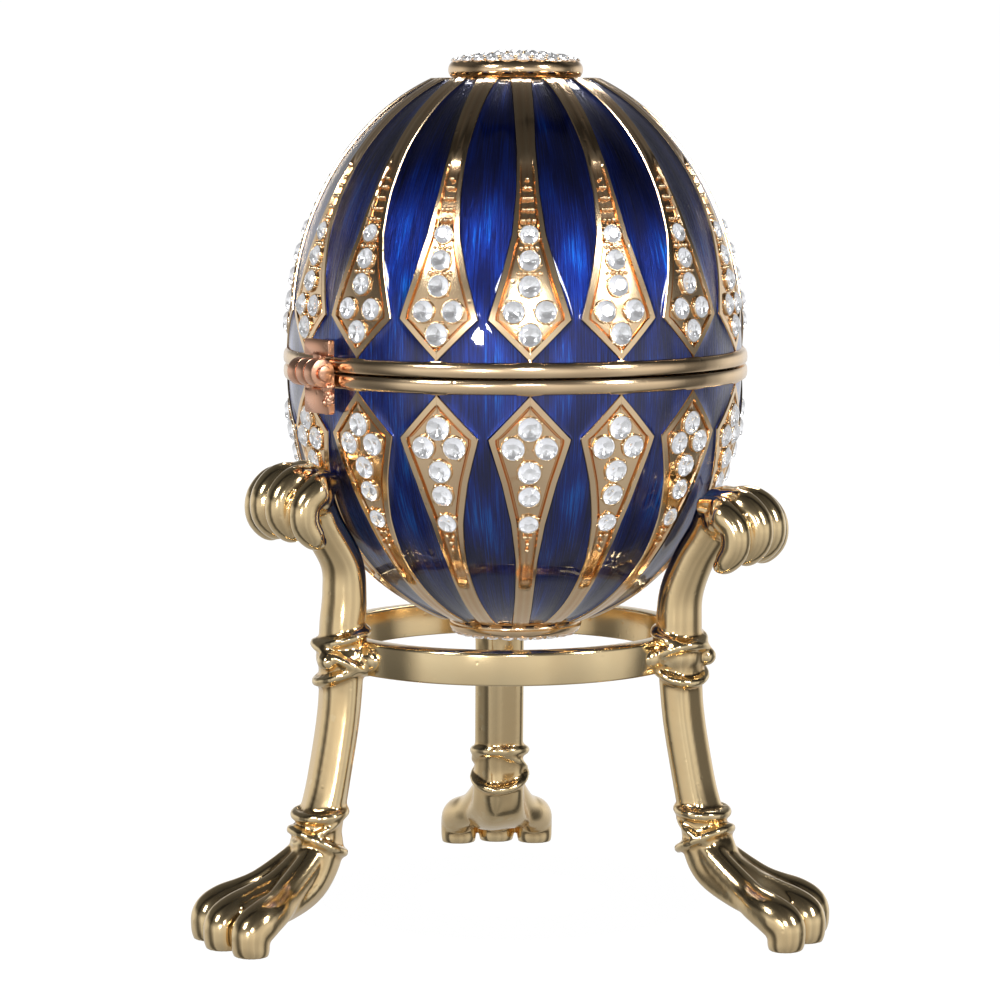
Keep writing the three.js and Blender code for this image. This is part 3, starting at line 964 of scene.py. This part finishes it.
def limb(shape, stations, sides=24, steps=5, flutes=0, flute=0.0):
    """A closed skin through stations of (side, reach, z, thickness, width) half sizes."""
    path = through(stations, steps)
    points = []
    for i, (side, reach, z, thick, wide) in enumerate(path):
        before, after = path[max(i - 1, 0)], path[min(i + 1, len(path) - 1)]
        along = Vector((after[1] - before[1], after[2] - before[2])).normalized()
        for k in range(sides):
            a = 2 * math.pi * k / sides
            swell = 1 + flute * math.cos(flutes * a) if flutes else 1
            out = math.sin(a) * max(thick, 0.05) * swell
            across = math.cos(a) * max(wide, 0.05) * swell
            points.append((side + across, -(reach + out * along.y), z - out * along.x))
    faces = flipped(grid_faces(len(path), sides, True))
    for row, flip in ((0, False), (len(path) - 1, True)):
        centre = np.mean(points[row * sides:(row + 1) * sides], axis=0)
        points.append(tuple(centre))
        hub = len(points) - 1
        for k in range(sides):
            a, b = row * sides + k, row * sides + (k + 1) % sides
            faces.append((hub, b, a) if flip else (hub, a, b))
    return shape.add(points, faces)


def blob(shape, side, reach, z, radii):
    """An ellipsoid with half sizes across, along the reach, and upwards."""
    points, faces = ball(1.0, 12, 20)
    points = [(side + x * radii[0], -(reach + y * radii[1]), z + w * radii[2]) for x, y, w in points]
    return shape.add(points, flipped(faces))


def band(shape, reach, z, tilt, thick, wide, minor, lean=0.0):
    """A cord wound once round a limb, tilted in the leg's plane and leaning to one side by degrees."""
    segments, section = 40, 10
    points = []
    for i in range(segments):
        a = 2 * math.pi * i / segments
        out, across = math.cos(a), math.sin(a)
        rise = out * thick * math.tan(math.radians(tilt)) + across * wide * math.tan(math.radians(lean))
        for j in range(section):
            b = 2 * math.pi * j / section
            grow = minor * math.cos(b)
            height = z + rise + minor * math.sin(b)
            points.append((across * (wide + grow), -(reach + out * (thick + grow)), height))
    return shape.add(points, [(a, d, c, b) for a, b, c, d in torus_faces(segments, section)])


def beside_bowl(height, distance, egg_reach):
    """Reach and height of a point that stands off the bowl by a distance."""
    normal = egg_normal(BOWL, height)
    return egg_radius(BOWL, height) + distance * normal.x + egg_reach, SEAM_Z - height - distance * normal.y


def arm(shape, lift, egg_reach):
    gap, thick = 0.3, 2.0
    top = beside_bowl(11.2 - lift, 2.1 + gap, egg_reach)
    middle = beside_bowl(14.2 - lift / 2, thick + gap, egg_reach)
    low = beside_bowl(17.4, thick + gap, egg_reach)
    limb(shape, [
        (0, 26 + egg_reach, 41.6 + lift, 1.5, 4.6),
        (0, 24.6 + egg_reach, 42.6 + lift, 2.0, 4.0),
        (0, top[0], top[1], 2.05, 2.9),
        (0, middle[0], middle[1], thick, 2.45),
        (0, low[0], low[1], thick, 2.4),
        (0, 19.05 + egg_reach / 3, 33.5, 2.1, 2.45),
        (0, 19.05, 30.4, 2.2, 2.55),
        (0, 19.15, 27, 2.2, 2.6),
        (0, 19.3, 24.2, 1.9, 2.5),
    ], 32, 6)
    blob(shape, 0, 24.3 + egg_reach, 42.5 + lift, (5.1, 2.6, 2.45))


def paw(shape, lift, egg_reach):
    for place in (-1.5, -0.5, 0.5, 1.5):
        back = 1.0 if abs(place) > 1 else 0
        low = 0.5 if abs(place) > 1 else 0
        side = place * 3.0
        limb(shape, [
            (place * 1.6, 21.6 + egg_reach, 43.6 + lift, 0.9, 1.0),
            (place * 2.2, 23.6 + egg_reach, 44.1 + lift - low, 1.2, 1.3),
            (side, 25.7 + egg_reach - back, 43.9 + lift - low, 1.45, 1.5),
            (side, 27.2 + egg_reach - back, 42.4 + lift - low, 1.5, 1.5),
            (side, 27.3 + egg_reach - back, 40.5 + lift - low, 1.45, 1.45),
            (side, 26.2 + egg_reach - back, 39.0 + lift - low, 1.15, 1.3),
            (side, 25.2 + egg_reach - back, 38.6 + lift - low, 0.5, 0.6),
        ], 16, 4)


def shank(shape, sole):
    limb(shape, [
        (0, 19.2, 28.2, 2.2, 2.7),
        (0, 19.3, 24.2, 1.95, 2.6),
        (0, 19.7, 20.5, 1.9, 2.6),
        (0, 20.7, 15.2, 1.9, 2.6),
        (0, 21.3, 12.6, 2.0, 2.6),
        (0, 21.9, 10.4, 2.2, 2.6),
        (0, 22.3 + sole * 0.4, 8.2, 2.5, 2.7),
        (0, 23.6, 5.9 + sole, 2.3, 2.9),
        (0, 26.4, 4.3 + sole, 2.0, 3.6),
        (0, 29.6, 3.4 + sole * 0.6, 1.7, 4.6),
        (0, 31.2, 3.0, 1.3, 4.6),
    ], 32, 6, 5, 0.045)


def foot(shape, foot_turn):
    """Three tendons run from the ankle into three rounded toes."""
    toes = Shape()
    for place in (-1, 0, 1):
        back = 0.0 if place == 0 else 0.8
        limb(toes, [
            (place * 0.9, 21.9, 9.6, 1.3, 1.3),
            (place * 1.5, 23.6, 7.6, 1.4, 1.4),
            (place * 2.5, 26.4, 5.4, 1.5, 1.5),
            (place * 3.5, 29.0 - back, 4.2, 1.7, 1.7),
            (place * 4.1, 30.9 - back, 3.3, 1.95, 1.9),
            (place * TOE_PITCH, 32.2 - back, 2.4, 2.05, 1.95),
            (place * TOE_PITCH, 32.5 - back, 1.3, 1.9, 1.95),
            (place * TOE_PITCH, 32.4 - back, 0.3, 1.75, 1.9),
            (place * TOE_PITCH, 32.3 - back, -0.5, 1.4, 1.6),
        ], 20, 5)
    c, s = math.cos(foot_turn), math.sin(foot_turn)
    turned = []
    for x, y, z in toes.points:
        dy = y + FOOT_PIVOT
        turned.append((x * c - dy * s, x * s + dy * c - FOOT_PIVOT, z))
    shape.add(turned, toes.faces)


def toe_groove_shade(point, foot_turn):
    """Painted shade in the grooves between the toes: the colour there runs darker and more copper."""
    x, y, z = point
    across = x * math.cos(foot_turn) + (y + FOOT_PIVOT) * math.sin(foot_turn)
    if -y < GROOVE_START or z > GROOVE_TOP:
        return 0.0
    return max(0.0, 1 - abs(abs(across) - TOE_PITCH / 2) / GROOVE_REACH)


def bindings(shape):
    """The crossing cords at the ring and at the ankle, and the swelling where the ring runs in."""
    blob(shape, 0, 17.5, 27.3, (4.6, 1.5, 1.8))
    blob(shape, 0, 19.1, 27.3, (3.0, 2.5, 2.2))
    band(shape, 19.1, 29.3, -14, 2.3, 2.75, 0.5, 6)
    band(shape, 19.1, 27.3, 24, 2.5, 2.95, 0.55, -14)
    band(shape, 19.15, 25.9, -20, 2.4, 2.8, 0.5, 10)
    blob(shape, 1.2, 21.6, 27.2, (1.1, 0.8, 0.9))
    band(shape, 21.7, 12.1, -6, 2.3, 2.7, 0.55)
    band(shape, 21.9, 10.6, -30, 2.35, 2.7, 0.4, 12)
    band(shape, 22.0, 9.3, 26, 2.5, 2.75, 0.5, -4)


def cast_skin(shape, voxel, smoothing):
    """Joins overlapping closed skins into one smooth skin, as a casting has."""
    mesh = bpy.data.meshes.new("raw")
    mesh.from_pydata([tuple(p) for p in shape.points], [], shape.faces)
    raw = new_object("raw", mesh)
    remesh = raw.modifiers.new("remesh", "REMESH")
    remesh.mode = "VOXEL"
    remesh.voxel_size = voxel
    soften = raw.modifiers.new("soften", "SMOOTH")
    soften.factor = 0.5
    soften.iterations = smoothing
    bpy.context.view_layer.update()
    done = raw.evaluated_get(bpy.context.evaluated_depsgraph_get())
    result = done.to_mesh()
    skin = Shape()
    points = [tuple(v.co) for v in result.vertices]
    skin.add(points, [tuple(p.vertices) for p in result.polygons])
    done.to_mesh_clear()
    bpy.data.objects.remove(raw)
    bpy.data.meshes.remove(mesh)
    return skin


def leg(name, turn, paw_lift, foot_turn, sole):
    """One leg's casting. Its paw is lifted and its instep raised by millimetres; turns are degrees."""
    azimuth = math.radians(turn)
    egg_reach = (EGG_CENTRE[0] - STAND_CENTRE[0]) * math.sin(azimuth)
    shape = Shape()
    arm(shape, paw_lift, egg_reach)
    paw(shape, paw_lift, egg_reach)
    shank(shape, sole)
    foot(shape, math.radians(foot_turn))
    bindings(shape)
    skin = cast_skin(shape, LEG_VOXEL, 4)
    skin.points = [(x, y, max(z, 0.0)) for x, y, z in skin.points]
    # Painted shade between the toes, read by the plating.
    skin.values = [toe_groove_shade(point, math.radians(foot_turn)) for point in skin.points]
    make(f"{name}_casting", skin, "base", [STAND_GOLD], STAND_CENTRE, azimuth, [name])


for leg_sizes in LEGS:
    leg(**leg_sizes)

# ---------------------------------------------------------------- floor, light and camera


def paper_material():
    material, _, _, shader = new_material("pale_paper")
    set_inputs(shader, {"Base Color": (0.05, 0.05, 0.05, 1), "Roughness": 0.9, "Specular IOR Level": 0.1,
                        "Emission Color": (1, 1, 1, 1), "Emission Strength": 1.0})
    return material


FLOOR_DROP = 0.00002


def sweep():
    """A pale round floor that curves up into a backdrop on every side. Polished metal mirrors
    the room behind it instead, as it does before a cut-out background."""
    profile = [(0.02, 0.0), (0.3, 0.0), (0.8, 0.0)]
    profile += [(0.8 + 0.4 * math.sin(a), 0.4 - 0.4 * math.cos(a)) for a in np.linspace(0.1, math.pi / 2, 12)]
    profile.append((1.2, 1.6))
    segments = 96
    points = [(0, 0, -FLOOR_DROP)]
    for radius, z in profile:
        for i in range(segments):
            turn = 2 * math.pi * i / segments
            points.append((radius * math.cos(turn), radius * math.sin(turn), z - FLOOR_DROP))
    faces = [tuple(1 + i for i in face) for face in grid_faces(len(profile), segments, True)]
    faces += [(0, 1 + i, 1 + (i + 1) % segments) for i in range(segments)]
    mesh = bpy.data.meshes.new("sweep")
    mesh.from_pydata(points, [], faces)
    mesh.polygons.foreach_set("use_smooth", [True] * len(faces))
    mesh.materials.append(paper_material())
    floor = new_object("sweep", mesh)
    floor.visible_glossy = False
    floor.visible_diffuse = False
    floor.visible_transmission = False


LIGHT_TARGET = Vector((0, 0, 0.045))


def softbox(name, position, size, power):
    """A rectangular lamp, in metres and watts, that faces the middle of the model."""
    light = bpy.data.lights.new(name, "AREA")
    light.shape = "RECTANGLE"
    light.size, light.size_y = size
    light.energy = power
    lamp = new_object(name, light)
    lamp.location = position
    direction = LIGHT_TARGET - Vector(position)
    lamp.rotation_euler = direction.to_track_quat("-Z", "Y").to_euler()


def world_light():
    """A room that is light round about and dark overhead, with a few darker upright gaps."""
    world = bpy.data.worlds.new("studio")
    bpy.context.scene.world = world
    world.use_nodes = True
    nodes, links = world.node_tree.nodes, world.node_tree.links
    back = nodes["Background"]
    direction = node(nodes, "ShaderNodeTexCoord")
    split = node(nodes, "ShaderNodeSeparateXYZ")
    links.new(direction.outputs["Generated"], split.inputs[0])
    height = node(nodes, "ShaderNodeMapRange", **{"From Min": -1.0, "From Max": 1.0})
    links.new(split.outputs["Z"], height.inputs["Value"])
    rise = grey_ramp(nodes, [(0.0, 0.35), (0.25, 0.50), (0.40, 0.72), (0.47, 0.88), (0.54, 0.85),
                             (0.59, 0.55), (0.65, 0.15), (1.0, 0.05)])
    links.new(height.outputs["Result"], rise.inputs["Fac"])
    ahead = node(nodes, "ShaderNodeMath", operation="MULTIPLY")
    ahead.inputs[1].default_value = -1.0
    links.new(split.outputs["Y"], ahead.inputs[0])
    turn = node(nodes, "ShaderNodeMath", operation="ARCTAN2")
    links.new(split.outputs["X"], turn.inputs[0])
    links.new(ahead.outputs[0], turn.inputs[1])
    share = node(nodes, "ShaderNodeMapRange", **{"From Min": -math.pi, "From Max": math.pi})
    links.new(turn.outputs[0], share.inputs["Value"])
    gaps = grey_ramp(nodes, [
        (0.00, 1.0), (0.20, 0.9), (0.27, 0.2), (0.31, 0.2), (0.35, 1.0), (0.42, 0.9), (0.45, 0.85),
        (0.47, 0.85), (0.49, 0.8), (0.56, 1.0), (0.59, 0.8), (0.63, 0.8), (0.67, 1.0), (0.72, 0.9),
        (0.76, 0.2), (0.80, 0.2), (0.86, 1.0), (1.0, 1.0),
    ])
    links.new(share.outputs["Result"], gaps.inputs["Fac"])
    both = node(nodes, "ShaderNodeMix", data_type="RGBA", blend_type="MULTIPLY", Factor=1.0)
    links.new(rise.outputs["Color"], both.inputs[6])
    links.new(gaps.outputs["Color"], both.inputs[7])
    links.new(both.outputs[2], back.inputs["Color"])
    back.inputs["Strength"].default_value = 1.0


EYE_DISTANCE = 340
EYE_HEIGHT = 80.1
EYE_PITCH = math.radians(-6.46)
EYE_YAW = math.radians(0.26)
FOCAL_LENGTH = 122.7


def camera():
    lens = bpy.data.cameras.new("camera")
    lens.sensor_width = 36
    lens.lens = FOCAL_LENGTH
    lens.clip_start = 0.01
    eye = new_object("camera", lens)
    eye.location = (EGG_CENTRE[0] * MM, (EGG_CENTRE[1] - EYE_DISTANCE) * MM, EYE_HEIGHT * MM)
    eye.rotation_euler = (math.radians(90) + EYE_PITCH, 0, EYE_YAW)
    bpy.context.scene.camera = eye


sweep()
softbox("key_left", (-0.42, -0.45, 0.42), (0.14, 0.2), 2.3)
softbox("key_right", (0.5, -0.4, 0.33), (0.1, 0.24), 1.9)
softbox("behind", (0.05, 0.55, 0.5), (0.3, 0.2), 2.2)
softbox("front_spark", (0.1, -0.9, 0.28), (0.08, 0.08), 1.4)
softbox("front_spark_left", (-0.25, -0.8, 0.12), (0.05, 0.05), 1.2)
bpy.context.scene.view_settings.view_transform = "Standard"
world_light()
camera()
